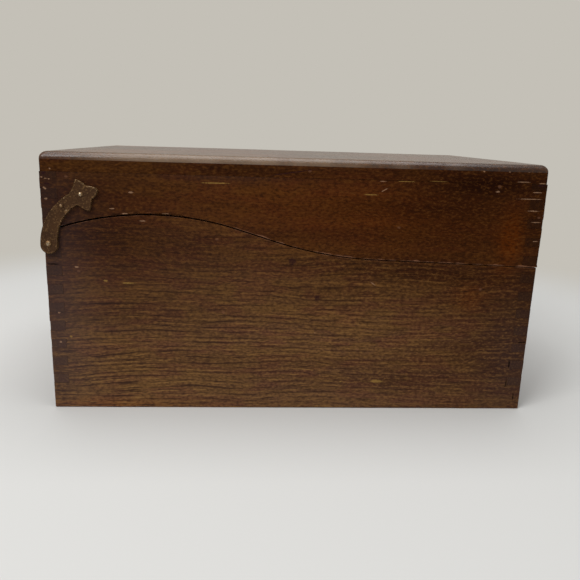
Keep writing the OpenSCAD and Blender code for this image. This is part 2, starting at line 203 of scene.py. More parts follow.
def make_piece(name, points, faces, rides, nodes, finish, arris=None, values=None, widest=1.0,
               upward=None):
    """Puts points in mm and a list of face arrays into a mesh, says what it rides on and replaces,
    and gives it its finish, and upward where its faces look up. arris gives the radius in mm, up to
    widest, that Bevel rounds each outward edge to, from the edge's middle. values are named numbers
    per point, for the finish to read."""
    if sum(volume(points, f) for f in faces) < 0:
        faces = [f[:, ::-1] for f in faces]
    mesh = bpy.data.meshes.new(name)
    mesh.vertices.add(len(points))
    mesh.vertices.foreach_set("co", (points * MM).astype(np.float32).ravel())
    sizes = np.concatenate([np.full(len(f), f.shape[1]) for f in faces])
    mesh.loops.add(int(sizes.sum()))
    mesh.loops.foreach_set("vertex_index", np.concatenate([f.ravel() for f in faces]).astype(np.int32))
    mesh.polygons.add(len(sizes))
    mesh.polygons.foreach_set("loop_start", (np.cumsum(sizes) - sizes).astype(np.int32))
    mesh.polygons.foreach_set("use_smooth", np.ones(len(sizes), bool))
    mesh.update(calc_edges=True)
    for key, number in (values or {}).items():
        mesh.attributes.new(key, "FLOAT", "POINT").data.foreach_set("value", number.astype(np.float32))
    ends = np.zeros(len(mesh.edges) * 2, np.int32)
    mesh.edges.foreach_get("vertices", ends)
    ends = np.sort(ends.reshape(-1, 2), 1).astype(np.int64)
    key = ends[:, 0] * len(points) + ends[:, 1]
    bent, outward = creases(points, faces)
    radius = np.zeros(len(key))
    if arris:
        radius = arris((points[ends[:, 0]] + points[ends[:, 1]]) / 2) * np.isin(key, bent[outward])
    sharp = np.isin(key, bent) & (radius < 0.01)
    mesh.attributes.new("sharp_edge", "BOOLEAN", "EDGE").data.foreach_set("value", sharp)
    piece = bpy.data.objects.new(name, mesh)
    bpy.context.scene.collection.objects.link(piece)
    mesh.materials.append(finish)
    if upward:
        mesh.materials.append(upward)
        normal = np.zeros(len(sizes) * 3, np.float32)
        mesh.polygon_normals.foreach_get("vector", normal)
        mesh.polygons.foreach_set("material_index", (normal[2::3] > 0.05).astype(np.int32))
    if arris:
        weight = mesh.attributes.new("bevel_weight_edge", "FLOAT", "EDGE")
        weight.data.foreach_set("value", np.clip(radius / widest, 0, 1).astype(np.float32))
        bevel = piece.modifiers.new("worn_arris", "BEVEL")
        bevel.limit_method = "WEIGHT"
        bevel.width = widest * MM
        bevel.segments = 2 if widest <= 1 else 3
        bevel.use_clamp_overlap = False
        bevel.harden_normals = True
    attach(piece, rides)
    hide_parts(*nodes)


# Finishes

def linear(code):
    """Linear colour, with an alpha of 1, of an sRGB hex value."""
    part = np.array([int(code[i:i + 2], 16) for i in (1, 3, 5)]) / 255
    part = np.where(part <= 0.04045, part / 12.92, ((part + 0.055) / 1.055) ** 2.4)
    return (*part.tolist(), 1.0)


def plug(node, sockets):
    """Gives a node's sockets their values or links. A node stands for its first output."""
    for key, value in sockets.items():
        if isinstance(value, bpy.types.Node):
            value = value.outputs[0]
        if isinstance(value, bpy.types.NodeSocket):
            node.id_data.links.new(value, node.inputs[key])
        else:
            node.inputs[key].default_value = value


def add(tree, kind, sockets=(), **settings):
    """Adds one shader node, with its settings and what its sockets get."""
    made = tree.nodes.new("ShaderNode" + kind)
    for key, value in settings.items():
        setattr(made, key, value)
    plug(made, dict(sockets))
    return made


def new_finish(name):
    """A material with an empty tree, its Principled shader and its output."""
    made = bpy.data.materials.new(name)
    made.use_nodes = True
    made.node_tree.nodes.clear()
    shader = add(made.node_tree, "BsdfPrincipled")
    output = add(made.node_tree, "OutputMaterial", {"Surface": shader})
    return made, made.node_tree, shader, output


def in_mm(tree, coords):
    """The piece's own coordinates in millimetres."""
    return add(tree, "VectorMath", {0: coords.outputs["Object"], 1: (1 / MM,) * 3}, operation="MULTIPLY")


def layered(tree, ground, layers):
    """Colour of layers that lie over a ground one after the other, each with its share and its hex
    value. One with a third entry tints what is under it."""
    colour = linear(ground)
    for share, tone, *tints in layers:
        colour = add(tree, "Mix", {0: share, 6: colour, 7: linear(tone)}, data_type="RGBA",
                     blend_type="MULTIPLY" if tints else "MIX").outputs[2]
    return colour


# Marks on the near face, by their angle down to the right: x, z, half length and half height in mm.
# Nicks show pale wood and scrapes golden wood, and the cracks lie beside the fingers.
NICKS = {
    0: (
        (-116.5, 112.4, 0.5, 0.3), (-114.9, 111.9, 0.7, 0.3), (-113.4, 111.7, 0.5, 0.25),
        (-115.3, 102.8, 0.7, 0.4), (-77.1, 106.5, 1.3, 0.4), (-85.8, 98.9, 1.2, 0.3),
        (-80, 96.7, 1.5, 0.25), (-61.4, 97.1, 1.8, 0.3), (-72.2, 93.5, 1.4, 0.3),
        (-103.3, 71.2, 1.1, 0.4), (39, 114.5, 1.7, 0.2), (93.9, 111.1, 1.0, 0.4),
        (98.6, 120.6, 0.6, 0.45), (107.6, 120.8, 0.8, 0.5), (86.3, 120.4, 0.5, 0.4),
        (105.7, 115.9, 3.4, 0.2), (115, 115.4, 1.8, 0.25), (113, 111.2, 2.4, 0.25),
        (109.8, 108, 5.6, 0.2), (111.8, 102.4, 2.8, 0.25), (114, 97, 2.4, 0.2),
        (115, 87.8, 1.6, 0.2), (-112.7, 34, 0.6, 0.5), (-112.7, 48.8, 0.7, 0.5), (10, 40, 0.4, 0.25),
    ),
    35: ((37.2, 65.5, 1.6, 0.3), (-112.7, 116.3, 0.5, 0.3), (-115.5, 107.5, 0.8, 0.5)),
    -30: ((40, 110.6, 1.8, 0.25),),
}
SCRAPES = {
    0: (
        (-38.6, 111.7, 6.2, 0.3), (-90.1, 64.8, 1.1, 0.5), (-79.3, 63.8, 3.2, 0.35),
        (-107.8, 36.9, 0.7, 0.5), (33.6, 108.2, 3.2, 0.3), (49.6, 114.7, 4.2, 0.2),
        (65.2, 115.1, 4.2, 0.2), (42.1, 14.9, 3.1, 0.8), (24, 14.4, 0.6, 0.35),
    ),
}
SPOTS = {
    0: (
        (-2.1, 75.7, 1.8, 1.6), (10.4, 57.9, 1.6, 1.5), (114.6, 114.4, 2.2, 0.3),
        (-115.5, 114.2, 1.0, 0.5), (-114.5, 109.6, 1.2, 0.4),
    ),
    -9: ((-4.2, 117.3, 11, 0.3),),
}
CRACKS = {
    0: (
        (109.8, 24.5, 0.4, 2.2), (109.4, 14.6, 0.4, 2.0), (108.7, 12.6, 1.1, 0.4),
        (114, 6.4, 0.4, 2.2), (114.6, 36.3, 2.4, 0.4), (-114, 72.4, 2.8, 0.35),
    ),
}
# Each group's share of the colour and its tone, and how deep a mark reaches into the wood
MARKS = ((SPOTS, 0.7, "#281218"), (CRACKS, 0.9, "#0e0806"), (SCRAPES, 0.55, "#a88444"),
         (NICKS, 0.5, "#b89070"))
MARK_DEPTH = 1.5


def scattered(tree, place, marks):
    """Mask of flat ellipsoids on the near face: 1 within each, fading over its ragged edge. Divided by
    its size each is a unit sphere, and the smallest distance counts."""
    ragged = add(tree, "TexNoise", {"Vector": place, "Scale": 1.1, "Detail": 2.0})
    least = 9.0
    for tilt, group in marks.items():
        turn = math.radians(tilt)
        level = add(tree, "Mapping", {"Vector": place, "Rotation": (0, -turn, 0)})
        for x, z, length, height in group:
            size = np.array([length, MARK_DEPTH, height])
            middle = np.array([x * math.cos(turn) - z * math.sin(turn), -LID_Y,
                               x * math.sin(turn) + z * math.cos(turn)])
            near = add(tree, "VectorMath", {0: level, 1: size.tolist()}, operation="DIVIDE")
            far = add(tree, "VectorMath", {0: near, 1: (middle / size).tolist()}, operation="DISTANCE")
            least = add(tree, "Math", {0: least, 1: far.outputs["Value"]}, operation="MINIMUM")
    least = add(tree, "Math", {0: ragged, 1: 1.4, 2: least}, operation="MULTIPLY_ADD")
    return add(tree, "MapRange", {"Value": least, "From Min": 1.85, "From Max": 1.35})


# Size of each pattern in the oak along and across the grain in mm, its kind, its detail or
# distortion, and the values where it starts and is full. Where the third size is 0 it lies in a flat
# pattern. A wave makes 20 / (2 pi) rows in its size across.
GRAIN = {
    "row": ((45, 8.6, 0), "TexWave", 5.0, 0.8, 0.97),
    "thin": ((30, 5.9, 0), "TexWave", 7.0, 0.82, 0.97),
    "pale": ((45, 8.6, 0), "TexWave", 5.0, 0.22, 0.04),
    "run": ((15, 1.5, 1.5), "TexNoise", 1.0, 0.42, 0.58),
    "other": ((11, 1.1, 1.1), "TexNoise", 1.0, 0.45, 0.6),
    "tint": ((13, 2.6, 2.6), "TexNoise", 1.0, 0.42, 0.6),
    "rose": ((18, 5.5, 5.5), "TexNoise", 1.0, 0.46, 0.62),
    "mottle": ((1.7, 0.9, 0.9), "TexNoise", 2.0, 0.48, 0.7),
    "light": ((1.7, 0.9, 0.9), "TexNoise", 2.0, 0.5, 0.28),
    "pore": ((3.6, 0.42, 0.42), "TexNoise", 2.0, 0.5, 0.7),
    "band": ((150, 9, 9), "TexNoise", 2.0, 0.35, 0.65),
    "cloud": ((60, 16, 16), "TexNoise", 2.0, 0.38, 0.62),
    "speck": ((60, 45, 0), "TexVoronoi", 0.0, 0.018, 0.008),
}
KIND_SETTINGS = {"TexNoise": {}, "TexWave": {"bands_direction": "Y"},
                 "TexVoronoi": {"voronoi_dimensions": "2D"}}
# Waves by which the grain wanders: their size along and across it, and how far they push it, in mm
WANDER = (((90, 34, 34), 6.0), ((40, 7, 7), 1.8), ((2.5, 1.6, 1.6), 0.3))
# Numbers that each point of a board holds for its finish
BOARD_VALUES = ("deep", "gold", "amber", "dark", "cool", "figure", "from_edge", "rub", "inside")


def oak(name, along, tones, streaks=1.0, gloss=0.4, sheen=0.03, marked=False):
    """Open-pored oak under dark stain and a worn varnish. To the eye it has broken rows of dark dashes
    along the grain, 2.7 mm apart, with finer and paler ones and pores between them. Clouds of golden and
    rosy brown pass over it, end grain has drunk more stain, and edges are rubbed. Along the saw cut that
    rubbed tone is also a painted highlight, a tint paints shade where a board asks for it, and a pale
    grey tone paints a reflection of the varnish. marked adds the near face's nicks, scrapes, spots and
    cracks."""
    made, tree, shader, _ = new_finish(name)
    coords = add(tree, "TexCoord")
    turn = {"X": 0.0, "Y": -math.pi / 2}[along]
    grain = add(tree, "Mapping", {"Vector": coords.outputs["Object"], "Rotation": (0, 0, turn),
                                  "Scale": (1 / MM,) * 3})
    place = grain
    for waves, reach in WANDER:
        spread = add(tree, "VectorMath", {0: grain, 1: waves}, operation="DIVIDE")
        wave = add(tree, "TexNoise", {"Vector": spread, "Scale": 1.0, "Detail": 1.0})
        place = add(tree, "VectorMath", {0: wave.outputs["Color"], 1: (reach,) * 3, 2: place},
                    operation="MULTIPLY_ADD")
    # The flat pattern runs along the grain, and across it by the sum of the other two lengths
    lengths = add(tree, "SeparateXYZ", {0: place}).outputs
    across = add(tree, "Math", {0: lengths["Y"], 1: lengths["Z"]}, operation="ADD")
    flat = add(tree, "CombineXYZ", {0: lengths["X"], 1: across})
    mark = {}
    for key, (size, kind, amount, first, full) in GRAIN.items():
        spread = add(tree, "VectorMath", {0: place if size[2] else flat, 1: (*size[:2], size[2] or 1.0)},
                     operation="DIVIDE")
        socket = "Distortion" if kind == "TexWave" else "Detail"
        field = add(tree, kind, {"Vector": spread, "Scale": 1.0, socket: amount}, **KIND_SETTINGS[kind])
        mark[key] = add(tree, "MapRange", {"Value": field, "From Min": first, "From Max": full},
                        interpolation_type="SMOOTHSTEP")
    value = {key: add(tree, "Attribute", attribute_name=key).outputs["Fac"] for key in BOARD_VALUES}
    side = add(tree, "SeparateXYZ", {0: coords.outputs["Normal"]}).outputs["XY".index(along)]
    facing = add(tree, "Math", {0: side}, operation="ABSOLUTE")
    end = add(tree, "MapRange", {"Value": facing, "From Min": 0.6, "From Max": 0.8})
    inner = add(tree, "MapRange", {"Value": value["inside"], "From Min": 0.97, "From Max": 1.0})
    # Rubbing has bared the wood in places along the edges, as far in as the rub value says, and the same
    # pale tone along the edges of the saw cut is a painted highlight of the edge catching the light
    patchy = add(tree, "TexNoise", {"Vector": grain, "Scale": 0.22, "Detail": 4.0})
    reach = add(tree, "MapRange", {"Value": patchy, "From Min": 0.35, "From Max": 0.7})
    near = add(tree, "Math", {0: reach, 1: value["rub"]}, operation="MULTIPLY")
    near = add(tree, "Math", {0: near, 1: value["from_edge"]}, operation="SUBTRACT")
    rubbed_and_lit = add(tree, "MapRange", {"Value": near, "From Max": 0.5, "To Max": 0.75})

    def part(share, *others):
        """Share of a layer: the product of some values and a number."""
        for other in others:
            share = add(tree, "Math", {0: share, 1: other}, operation="MULTIPLY")
        return share

    along_face = add(tree, "Math", {0: 1.0, 1: end}, operation="SUBTRACT")
    figured = part(value["figure"], along_face)
    rows = part(mark["row"], mark["run"], figured, 0.6 * streaks)
    thins = part(mark["thin"], mark["other"], figured, 0.6 * streaks)
    pales = part(mark["pale"], mark["other"], figured, 0.5 * streaks)
    golden, pale, darker, dash = (tones[key] for key in ("golden", "pale", "darker", "dash"))
    layers = [
        (inner, tones["barer"]), (part(mark["cloud"], 0.4), golden), (value["gold"], golden),
        (part(mark["tint"], 0.4), golden), (part(mark["rose"], 0.4), tones["rosy"]),
        (value["amber"], tones["amber"]), (part(mark["band"], 0.3), darker), (value["dark"], darker),
        (pales, pale), (part(mark["light"], 0.4), pale), (part(mark["mottle"], 0.5), dash),
        (thins, dash), (rows, dash), (part(mark["pore"], 0.35 * streaks), dash),
        (part(end, 0.52), tones["ends"]), (value["deep"], tones["shaded"], "tint"),
        (value["cool"], tones["painted_sheen"]), (rubbed_and_lit, tones["bare_and_glint"]),
        (part(mark["speck"], 0.3), tones["bare_and_glint"]),
    ]
    hollow = add(tree, "Math", {0: mark["pore"], 1: rows}, operation="ADD")
    if marked:
        box_place = in_mm(tree, coords)
        for group, share, tone in MARKS:
            mask = scattered(tree, box_place, group)
            layers.append((part(mask, share), tone))
            hollow = add(tree, "Math", {0: hollow, 1: mask}, operation="ADD")
    shine = add(tree, "MapRange", {"Value": mark["pore"], "To Min": gloss, "To Max": gloss + 0.2})
    plug(shader, {
        "Base Color": layered(tree, tones["stain"], layers),
        "Roughness": shine,
        "Specular IOR Level": sheen,
        "Normal": add(tree, "Bump", {"Height": hollow, "Strength": 0.3, "Distance": 0.08 * MM},
                      invert=True),
    })
    return made


# The pale grey tone over the wood is painted reflection: on the walls a haze of the varnish mirroring the
# pale floor, on the top board the painted sheen of its rounded edge
OAK_TONES = {
    "stain": "#664630", "golden": "#805c30", "pale": "#9c7240", "rosy": "#6c3e30", "amber": "#a85e16",
    "darker": "#3c1e0e", "dash": "#2e1a13", "ends": "#3b2a24", "shaded": "#b09a80", "painted_sheen": "#605252",
    "bare_and_glint": "#8a6048", "barer": "#8a6338",
}
PLAIN_TONES = {
    "stain": "#a07a4c", "golden": "#ad8554", "pale": "#b8905e", "rosy": "#a07a4c", "amber": "#b08850",
    "darker": "#86613a", "dash": "#7a5632", "ends": "#8d6a43", "shaded": "#ffffff", "painted_sheen": "#a07a4c",
    "bare_and_glint": "#b99466", "barer": "#a07a4c",
}
# The walls' varnish has gone dull
OAK_SIDE = oak("stained_oak_side", "X", OAK_TONES, marked=True)
OAK_END = oak("stained_oak_end", "Y", OAK_TONES, marked=True)
# The top board's varnish is paler and still shines, so its grain shows less
OAK_TOP = oak("stained_oak_top", "X", {**OAK_TONES, "stain": "#70502f", "painted_sheen": "#9a846e"},
              streaks=0.5, gloss=0.24, sheen=0.45)
# The bottom board's edges took less stain
OAK_BOTTOM = oak("stained_oak_bottom", "X", {**OAK_TONES, "stain": "#785438"}, marked=True)
# The follower is oak with a coat of clear varnish alone, which leaves it pale and nearly matt
PLAIN_OAK = oak("plain_oak", "X", PLAIN_TONES, streaks=0.6, gloss=0.55, sheen=0.3)


def hammered_bronze():
    """Stamped steel under an oxidised bronze plating. To the eye it is brown and dull in the hammer
    marks, rubbed golden on the rims and the high spots, and worn through to pale steel on the heads. Each
    point's value high says how much it stands out, and it also holds painted highlights: on the upper rim
    and in the middle of each head."""
    made, tree, shader, _ = new_finish("oxidised_bronze_plating")
    place = in_mm(tree, add(tree, "TexCoord"))
    high = add(tree, "Attribute", attribute_name="high").outputs["Fac"]
    fine = add(tree, "TexNoise", {"Vector": place, "Scale": 1.6, "Detail": 4.0})
    cloud = add(tree, "TexNoise", {"Vector": place, "Scale": 0.16, "Detail": 2.0})
    spots = add(tree, "Math", {0: fine, 1: 0.5}, operation="SUBTRACT")
    rub = add(tree, "Math", {0: spots, 1: 2.2, 2: high}, operation="MULTIPLY_ADD")
    rubbed_and_lit = add(tree, "MapRange", {"Value": rub, "From Min": 0.35, "From Max": 1.35})
    bare = add(tree, "MapRange", {"Value": rub, "From Min": 0.95, "From Max": 1.5})
    worn = ((cloud, "#50341a"), (rubbed_and_lit, "#927048"), (bare, "#a39681"))
    plug(shader, {
        "Base Color": layered(tree, "#321e10", worn),
        "Metallic": add(tree, "MapRange", {"Value": rubbed_and_lit, "To Min": 0.05, "To Max": 0.8}),
        "Roughness": add(tree, "MapRange", {"Value": rubbed_and_lit, "To Min": 0.55, "To Max": 0.34}),
        "Specular IOR Level": 0.15,
        "Normal": add(tree, "Bump", {"Height": fine, "Strength": 0.6, "Distance": 0.12 * MM}),
    })
    return made


def plain_steel():
    """Zinc-plated sheet steel, gone dull. To the eye it is a cloudy grey with fine rolling scratches
    along it, drawn as coarse as they need to show, and small brown spots of rust."""
    made, tree, shader, _ = new_finish("dull_plated_steel")
    place = in_mm(tree, add(tree, "TexCoord"))
    lines = add(tree, "VectorMath", {0: place, 1: (12, 0.25, 0.25)}, operation="DIVIDE")
    scratch = add(tree, "TexNoise", {"Vector": lines, "Scale": 1.0, "Detail": 3.0})
    cloud = add(tree, "TexNoise", {"Vector": place, "Scale": 0.12, "Detail": 3.0})
    spots = add(tree, "TexNoise", {"Vector": place, "Scale": 0.9, "Detail": 5.0})
    rust = add(tree, "MapRange", {"Value": spots, "From Min": 0.62, "From Max": 0.72})
    plug(shader, {
        "Base Color": layered(tree, "#7c7b76", ((cloud, "#a8a7a0"), (rust, "#6a4630"))),
        "Metallic": add(tree, "MapRange", {"Value": rust, "To Min": 1.0, "To Max": 0.2}),
        "Roughness": add(tree, "MapRange", {"Value": scratch, "To Min": 0.3, "To Max": 0.55}),
        "Normal": add(tree, "Bump", {"Height": scratch, "Strength": 0.25, "Distance": 0.03 * MM}),
    })
    return made


BRONZE = hammered_bronze()
STEEL = plain_steel()


# Boards

# Grid steps along and up a wall board, and where the rear seam crosses a line between two fingers
COLUMN_STEP, ROW_STEP = 1.6, 2.25
REAR_THIN_X = -112.2

# Patches of the near face that differ from the rest: x, z, half length, half height and strength.
# Where it is more even its streaks are weaker, and stronger where the strength is below zero.
PATCHES = {
    "gold": (
        (5, 62, 60, 16, 0.35), (-40, 25, 70, 14, 0.3), (-14, 107, 14, 7, 0.4), (30, 100, 40, 8, 0.25),
        (-50, 50, 40, 14, 0.25), (-80, 8, 50, 10, 0.5), (-90, 24, 35, 14, 0.15), (106, 4, 8, 3, 0.4),
    ),
    "amber": (
        (103, 88, 6, 11, 0.7), (100, 72, 6, 6, 0.25), (86, 60, 8, 7, 0.35), (-20, 102, 60, 14, 0.12),
        (55, 98, 70, 20, 0.42), (-88, 1.5, 40, 3, 0.3), (102.5, 92, 5, 10, 0.35),
    ),
    # Among these, the bands just under the saw cut at x 40 and 75 are painted shade of the lid's edge,
    # and the patch at x 92 high on the lid is painted shade where the rounded edge reflects less light;
    # the rest are darker stain
    "dark": (
        (92, 115, 36, 7, 0.75), (-105, 100, 26, 30, 0.25), (106, 36, 20, 34, 0.5), (60, 103, 30, 4, 0.2),
        (-60, 84, 60, 10, 0.2), (40, 73, 45, 6, 0.45), (-114, 50, 8, 45, 0.35), (114, 100, 6, 16, 0.3),
        (-32, 117.5, 34, 4, 0.45), (-115, 108, 6, 12, 0.3), (75, 30, 40, 30, 0.15),
        (-100, 85, 20, 10, 0.3), (52, 14, 16, 7, 0.3), (75, 67.5, 40, 4, 0.3), (101.5, 21, 5, 3, 0.4),
        (80, 104, 36, 16, 0.4), (-90, 104, 25, 10, 0.25), (-114, 16, 5, 26, 0.3),
        (80, 70, 35, 12, 0.15), (116, 40, 8, 50, 0.3), (65, 94, 50, 24, 0.17),
    ),
    # Painted reflection: these patches lay a pale grey haze of the varnish on the near face, most at the
    # left end and low down
    "cool": (
        (-35, 117, 30, 4, 0.1), (-114, 45, 18, 60, 0.25), (-60, 40, 70, 50, 0.07), (0, 0, 140, 18, 0.08),
        (112, 25, 18, 30, 0.12),
    ),
    "even": (
        (-65, 86, 60, 20, 0.6), (85, 45, 45, 45, 0.35), (-70, 22, 55, 24, -0.35), (116, 30, 7, 60, 0.45),
    ),
}


def blots(points, marks):
    """Sum of soft ellipses: each fades as the square of the distance from its middle."""
    total = np.zeros(len(points))
    for x, z, length, height, strength in marks:
        reach = ((points[:, 0] - x) / length) ** 2 + ((points[:, 2] - z) / height) ** 2
        total += strength * np.exp(-reach)
    return total


def board_values(points, inside, upper, seed):
    """What the finish reads at each point: how golden, amber and dark the wood is there, with painted
    shade among the dark; how much painted reflection and painted shade lie on it; how streaky it is; its
    distance from the nearest worn edge and how far in that edge is rubbed, which along the lid's edge of
    the saw cut is also a painted highlight; and whether it lies inside the box. Of the distances to the
    planes of the box the second smallest is the one to an edge, because a point on a face has one of
    zero."""
    x, y, z = points.T
    half_x, half_y, edge = half_of(upper)
    planes = np.sort(np.stack([half_x - np.abs(x), half_y - np.abs(y), z, TOP_Z - z]), 0)[1]
    cut = np.abs(z - edge(x))
    # Along the saw cut the rub value is also a painted highlight: the lid's edge right of x = -40 gets a
    # full pale line, as if catching the light, and the rest of the cut a fainter one
    rub = np.where(cut < planes, np.where(upper & (x > -40), 1.0, 0.45), 0.5) * (inside < 0.01)
    near = y < -SIDE_IN
    elsewhere = {"gold": 0.25 + 0.3 * wobble(points, 90, seed), "cool": 0.05,
                 "amber": 0.2 + 0.25 * wobble(points, 60, seed + 2),
                 "dark": 0.2 - 0.3 * wobble(points, 70, seed + 1)}
    values = {key: np.clip(np.where(near, blots(points, PATCHES[key]), share), 0, 1)
              for key, share in elsewhere.items()}
    # Painted shade: the walls darken towards the top, over all of the lid and on the body from 35 mm up
    # and towards both ends
    if upper:
        deep, figure = np.full(len(z), 1.0), np.full(len(z), 0.2)
    else:
        sideways = 0.3 * np.clip((np.abs(x - 10) - 30) / 60, 0, 1)
        sideways *= np.where(x < 0, np.clip((z - 12) / 30, 0, 1), 1)
        deep = 0.7 * np.clip((z - 35) / 45, 0, 1) + sideways
        figure = 1.0 - near * blots(points, PATCHES["even"])
    values.update(deep=deep, figure=figure, rub=rub, inside=inside,
                  from_edge=np.clip(np.minimum(planes, cut), 0, 50))
    return values


def board_arris(upper, seed):
    """Radius of a board's edges: wide and uneven on the corners of the box, fine at the saw cut and
    finest along the joints."""
    half_x, half_y, edge = half_of(upper)

    def radius(middle):
        x, y, z = np.abs(middle).T
        planes = np.sort(np.stack([half_x - x, half_y - y, z]), 0)
        worn = 0.6 + 0.25 * wobble(middle, 14, seed)
        joint = np.where(np.abs(z - edge(middle[:, 0])) < 0.3, 0.28, 0.16)
        return np.where(planes[1] < 0.3, np.clip(worn, 0.25, 0.95), joint)
    return radius


def finger_number(z):
    """Which finger of the corner joints a height lies in, counted from the bottom board."""
    return np.floor((z - FLOOR_Z) / FINGER + 1e-6)


def middles(rows, columns):
    """Middle of each cell of a grid of lines."""
    return np.meshgrid((rows[1:] + rows[:-1]) / 2, (columns[1:] + columns[:-1]) / 2, indexing="ij")


def finished_board(upper, place, node, outer, inner, cells, seed, finish):
    """Makes the slab between a wall board's two grids of points a piece, with its worn edges."""
    half = ("body", "lid")[upper]
    points, faces, inside = slab(outer, inner, (0.35, 0.7), cells)
    make_piece(f"{half}_{place}_board", points, [faces], half, [f"{half}_{node}"], finish,
               board_arris(upper, seed), board_values(points, inside, upper, seed))


def side_board(upper, side):
    """A side board of the body or the lid. Its grid's rows are level where the fingers are, and bend
    between them so that the last row lies on the seam. Cells are left out where the end boards'
    fingers go."""
    half_x, face, _ = half_of(upper)
    columns = spaced([-half_x, -END_IN, END_IN, half_x], COLUMN_STEP)
    above_front = FINGERS[FRONT_CUT + 1]
    if upper:
        low, fixed, rear_edge = lid_edge(END_IN), FINGERS[LID_LEVEL], lid_edge(-END_IN)
        squeeze = (fixed - rear_edge) / (fixed - low)
        rear_rows = fixed - (fixed - FINGERS[REAR_CUT + 2:LID_LEVEL]) / squeeze
        rows = spaced([low, *FINGERS[FRONT_CUT + 1:], *rear_rows, WALL_TOP], ROW_STEP)
    else:
        low, fixed = seam(-END_IN), FINGERS[FRONT_CUT]
        rows = spaced([*FINGERS[:REAR_CUT + 1], low], ROW_STEP)
    level, x = np.meshgrid(rows, columns, indexing="ij")
    row_mid, x_mid = middles(rows, columns)
    if upper:
        share = np.clip((fixed - level) / (fixed - low), 0, None)
        z = level + share * (lid_edge(np.clip(x, -END_IN, END_IN)) - low)
        front = np.clip((above_front - level) / (above_front - low), 0, 1) * (x > END_IN)
        rear = np.clip((rear_rows[0] - level) / (rear_rows[0] - low), 0, 1) * (x < -END_IN)
        z += front * (lid_edge(x) - low)
        z += rear * (np.maximum(FINGERS[REAR_CUT + 1], lid_edge(x)) - rear_edge)
        rear_mid = np.where(row_mid < fixed, fixed - (fixed - row_mid) * squeeze, row_mid)
        number = finger_number(np.where(x_mid < 0, rear_mid, row_mid))
    else:
        share = np.clip((level - fixed) / (low - fixed), 0, None)
        z = level + share * (seam(np.maximum(x, -END_IN)) - low)
        number = finger_number(row_mid)
        number = np.where(x_mid > 0, np.minimum(number, FRONT_CUT), number)
    cells = (np.abs(x_mid) < END_IN) | (number % 2 == 0)
    outer = np.stack([x, np.full_like(x, -face), z], -1)
    inner = np.stack([x, np.full_like(x, -SIDE_IN), z], -1)
    outer[..., 1] += 0.05 * wobble(outer.reshape(-1, 3), 55, 3).reshape(x.shape) + 0.05
    outer[..., 1] *= -side
    inner[..., 1] *= -side
    place = ("left", "right")[side > 0]
    finished_board(upper, place, f"{place}_side", outer, inner, cells, 10 + 2 * upper + (side > 0),
                   OAK_SIDE)


def end_board(upper, end):
    """A front or rear board of the body or the lid, as a grid across the box. The last row at the
    saw cut lies at another height on the outer face than on the inner one, as the seam runs on
    through the board."""
    half_x, face, edge = half_of(upper)
    columns = spaced([-face, -SIDE_IN, SIDE_IN, face], COLUMN_STEP)
    first = REAR_CUT if end < 0 else FRONT_CUT
    below, line, above = FINGERS[first:first + 3]
    rows = spaced([*FINGERS[first:], WALL_TOP] if upper else FINGERS[:first + 2], ROW_STEP)
    level, y = np.meshgrid(rows, columns, indexing="ij")
    row_mid, y_mid = middles(rows, columns)
    share = np.clip((level - below) / FINGER, 0, 1)
    cells = (np.abs(y_mid) < SIDE_IN) | (finger_number(row_mid) % 2 == 1)
    grids = []
    for x in (half_x, END_IN):
        at_cut = edge(end * x)
        z = level.copy()
        if upper:
            # Where the saw cut leaves the first finger's height, its rows close up over the next one
            up = max(at_cut, line) if x == half_x else (at_cut + above) / 2
            up = up if at_cut > line or end < 0 else line
            z = np.where(level <= line, at_cut + share * (up - at_cut), z)
            z = np.where((level > line) & (level < above), up + (level - line) / FINGER * (above - up), z)
        else:
            z = np.where(level > below, below + share * (at_cut - below), z)
        grids.append(np.stack([np.full_like(y, end * x), y, z], -1))
    outer, inner = grids
    if upper and end < 0:
        thin = (np.abs(y) > SIDE_IN + 0.01) & (level <= line)
        inner[thin, 0] = REAR_THIN_X
        inner[thin, 2] = line - 0.05 * (1 - share[thin])
    outer[..., 0] -= end * (0.05 * wobble(outer.reshape(-1, 3), 55, 4).reshape(y.shape) + 0.05)
    place = ("rear", "front")[end > 0]
    finished_board(upper, place, place, outer, inner, cells, 20 + 2 * upper + (end > 0),
                   OAK_END)


